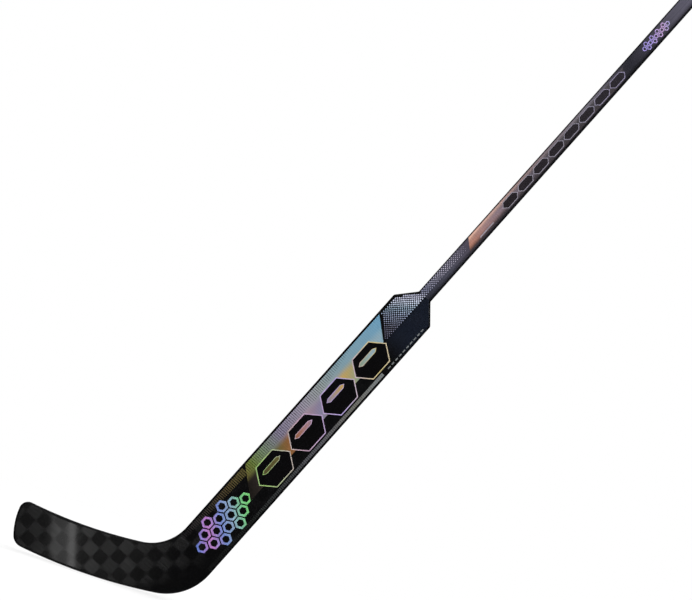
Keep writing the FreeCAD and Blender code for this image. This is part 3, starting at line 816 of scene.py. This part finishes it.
row = halftone["pitch"] / math.sqrt(2)
columns = math.ceil(stick["paddleWidth"] / 2 / (2 * row))  # from the middle to the toe side
for face, side in faces.items():
    mesh = bmesh.new()
    for i in range(int((halftone["to"] - halftone["from"]) / row)):
        along = halftone["from"] + i * row
        onShaft = along > stick["neck"]
        border = halftone["shaftBorder"] if onShaft else halftone["border"]
        for j in range(-columns, 1):
            across = (2 * j + i % 2) * row + halftone["shift"]
            foilEdge = paddleFoil["toeEnds"][1] - foilPrint["slope"] * (across - paddleFoil["toeEdge"])
            tooLow = along < foilEdge + halftone["foilGap"]
            if edgeGap(across, along) < border or across > halftone["heelEnd"] or tooLow:
                continue
            fade = max(0.0, 1 - math.dist((across, along), halftone["glowAt"]) / halftone["spread"])
            if onShaft:  # full at its toe side, none at its heel side
                fade *= 0.5 - across / stick["shaftWidth"]
            radius = halftone["smallest"] + (halftone["largest"] - halftone["smallest"]) * math.sqrt(fade)
            addDot(mesh, across, along, radius, side)
    finishPiece("halftoneDots" + face, mesh, "screenPrintSilver", smooth=True)
print("halftone printed")


# Shaft: a slim chain of long hexagons, dark inside a grey-lilac outline, and one plain dash below it.
shaftChain = {
    "from": 952.0,
    "pitch": 42.0,
    "count": 8,
    "across": -0.6,
    "halfWidth": 7.8,
    "halfLength": 20.2,
    "point": 7.4,
    "line": 1.2,
    "inkTop": 0.2,
    "lineTop": 0.24,
    "dash": ((2.6, 866.0), (4.6, 864.4), (4.6, 900.4), (2.6, 902.0)),
}
for face, side in faces.items():
    ink, line = bmesh.new(), bmesh.new()
    for i in range(shaftChain["count"]):
        outer = longHexagon(shaftChain["across"], shaftChain["from"] + i * shaftChain["pitch"],
                            shaftChain["halfWidth"], shaftChain["halfLength"], shaftChain["point"])
        inside = inset(outer, shaftChain["line"])
        addFilm(line, outer, side, shaftChain["lineTop"], inside)
        addFilm(ink, inside, side, shaftChain["inkTop"])
    addFilm(line, shaftChain["dash"], side, shaftChain["lineTop"])
    finishPiece("shaftHexInk" + face, ink, "screenPrintBlack")
    finishPiece("shaftHexLines" + face, line, "blockedLilacFoil")
print("shaft chain printed")


# Floor: a disc of matt white paper that keeps the shadow and fades out into the white surround.
studio = {
    "floorRadius": 4.0,
    "floorSides": 96,
    "fadeFrom": 1.4,
    "fadeTo": 3.6,
    "paper": "#f2f2f2",
    "selfLit": 0.7,  # share of the floor that is white to the camera whatever the light
    "white": "#ffffff",
    "levels": (0.25, 0.8),  # strength of walls and ceiling
    "glossLevels": (0.04, 0.2),  # and in the lacquer's gloss
    "ceilingSpan": (0.45, 0.9),  # sine of the height at which the wall gives way to the ceiling
}
floorCentre = Vector((heelCorner.x, 0, 0))
mesh = bmesh.new()
bmesh.ops.create_circle(mesh, cap_ends=True, segments=studio["floorSides"], radius=studio["floorRadius"],
                        matrix=Matrix.Translation(floorCentre))
data = bpy.data.meshes.new("studioFloor")
mesh.to_mesh(data)
mesh.free()
floor = bpy.data.objects.new("studioFloor", data)
bpy.context.scene.collection.objects.link(floor)
floor.visible_glossy = False  # the lacquer sees the dark surround below instead

paper = bpy.data.materials.new("mattWhitePaper")
paper.use_nodes = True
tree = paper.node_tree
tree.nodes.clear()
rays = addNode(tree, "ShaderNodeLightPath").outputs
spot = addNode(tree, "ShaderNodeTexCoord").outputs["Object"]
away = addNode(tree, "ShaderNodeVectorMath", {"operation": "DISTANCE"}, {
    0: spot, 1: floorCentre}).outputs["Value"]
fade = addNode(tree, "ShaderNodeMapRange", {"interpolation_type": "SMOOTHSTEP"}, {
    0: away, 1: studio["fadeFrom"], 2: studio["fadeTo"]}).outputs[0]
matt = addNode(tree, "ShaderNodeBsdfDiffuse", None, {"Color": hexColor(studio["paper"])}).outputs[0]
glow = addNode(tree, "ShaderNodeEmission", None, {"Color": hexColor(studio["white"])}).outputs[0]
share = addNode(tree, "ShaderNodeMath", {"operation": "MULTIPLY"}, {
    0: rays["Is Camera Ray"], 1: studio["selfLit"]}).outputs[0]
lit = addNode(tree, "ShaderNodeMixShader", None, {0: share, 1: matt, 2: glow}).outputs[0]
clear = addNode(tree, "ShaderNodeBsdfTransparent").outputs[0]
edge = addNode(tree, "ShaderNodeMixShader", None, {0: fade, 1: lit, 2: clear}).outputs[0]
addNode(tree, "ShaderNodeOutputMaterial", None, {"Surface": edge})
floor.data.materials.append(paper)

# Surround: white to the camera and through transmission. Walls under a brighter ceiling light the stick,
# and its lacquer mirrors far darker ones, as black cards beside black gloss keep its edges black.
world = bpy.data.worlds.new("studioSurround")
bpy.context.scene.world = world
world.use_nodes = True
tree = world.node_tree
tree.nodes.clear()
rays = addNode(tree, "ShaderNodeLightPath").outputs
heading = addNode(tree, "ShaderNodeTexCoord").outputs["Generated"]
upward = addNode(tree, "ShaderNodeSeparateXYZ", None, {0: heading}).outputs["Z"]
steep = addNode(tree, "ShaderNodeMath", {"operation": "ABSOLUTE"}, {0: upward}).outputs[0]
low, high = studio["ceilingSpan"]
level, glossLevel = (addNode(tree, "ShaderNodeMapRange", {"interpolation_type": "SMOOTHSTEP"}, {
    0: steep, 1: low, 2: high, 3: wall, 4: ceiling}).outputs[0]
    for wall, ceiling in (studio["levels"], studio["glossLevels"]))
strength = addNode(tree, "ShaderNodeMix", {"data_type": "FLOAT"}, {
    0: rays["Is Glossy Ray"], 2: level, 3: glossLevel}).outputs[0]
dim = addNode(tree, "ShaderNodeBackground", None, {
    "Color": hexColor(studio["white"]), "Strength": strength}).outputs[0]
white = addNode(tree, "ShaderNodeBackground", None, {"Color": hexColor(studio["white"])}).outputs[0]
seen = addNode(tree, "ShaderNodeMath", {"operation": "MAXIMUM"}, {
    0: rays["Is Camera Ray"], 1: rays["Is Transmission Ray"]}).outputs[0]
mixed = addNode(tree, "ShaderNodeMixShader", None, {0: seen, 1: dim, 2: white}).outputs[0]
addNode(tree, "ShaderNodeOutputWorld", None, {"Surface": mixed})


def addLamp(name, size, watts, matrix):  # a rectangle of light that the camera doesn't see
    light = bpy.data.lights.new(name, "AREA")
    light.shape = "RECTANGLE"
    light.size, light.size_y = size
    light.energy = watts
    holder = bpy.data.objects.new(name, light)
    holder.matrix_world = matrix
    holder.visible_camera = False
    bpy.context.scene.collection.objects.link(holder)
    return light


# Two wide soft boxes, one before the stick and one behind it.
softBoxes = {
    "keyFront": {"spot": (1.6, -2.7, 3.0), "aim": (0.3, 0, 0.55), "size": (3.2, 3.2), "watts": 129},
    "keyBehind": {"spot": (1.6, 2.7, 3.0), "aim": (0.3, 0, 0.55), "size": (3.2, 3.2), "watts": 118},
}
for name, lamp in softBoxes.items():
    turn = (Vector(lamp["aim"]) - Vector(lamp["spot"])).to_track_quat("-Z", "Z").to_matrix()
    addLamp(name, lamp["size"], lamp["watts"], Matrix.Translation(lamp["spot"]) @ turn.to_4x4())

# Two strips low on the left, one over the other, give the curved blade its upright band of light,
# sharp on its heel side and fading towards the toe. The angles are from the blade's line of sight.
bladeBand = {
    "blade": (-0.048, -0.007, 0.043),
    "lean": math.radians(18.0),
    "distance": 3.1,
    "height": 1.2,
    "strips": {"bandGlint": (14.4, 16.0, 0.4), "bandGlow": (14.4, 20.0, 0.78)},  # near and far angle, watts
}
leanWay = Vector((math.cos(bladeBand["lean"]), 0, math.sin(bladeBand["lean"])))
upright = Vector((-leanWay.z, 0, leanWay.x))
for name, (near, far, watts) in bladeBand["strips"].items():
    middle = math.radians((near + far) / 2)
    away = -throughStick * math.cos(middle) - leanWay * math.sin(middle)
    turn = Matrix((upright.cross(away), upright, away)).transposed()
    width = 2 * bladeBand["distance"] * math.tan(math.radians((far - near) / 2))
    place = Matrix.Translation(Vector(bladeBand["blade"]) + away * bladeBand["distance"])
    strip = addLamp(name, (width, bladeBand["height"]), watts, place @ turn.to_4x4())
    strip.use_shadow = False

# Camera: square on to the front face, a long lens, rolled so that the blade lies near level.
shot = {"middle": (0.2867, 0.62404), "distance": 14.056, "lens": 400.0, "roll": math.radians(18.221)}
camera = bpy.data.cameras.new("studioCamera")
camera.lens = shot["lens"]
holder = bpy.data.objects.new("studioCamera", camera)
cosRoll, sinRoll = math.cos(shot["roll"]), math.sin(shot["roll"])
turn = Matrix(((cosRoll, -sinRoll, 0), (0, 0, -1), (sinRoll, cosRoll, 0)))
place = Matrix.Translation((shot["middle"][0], -shot["distance"], shot["middle"][1]))
holder.matrix_world = place @ turn.to_4x4()
bpy.context.scene.collection.objects.link(holder)
bpy.context.scene.camera = holder
bpy.context.scene.view_settings.view_transform = "Standard"
print("studio set")
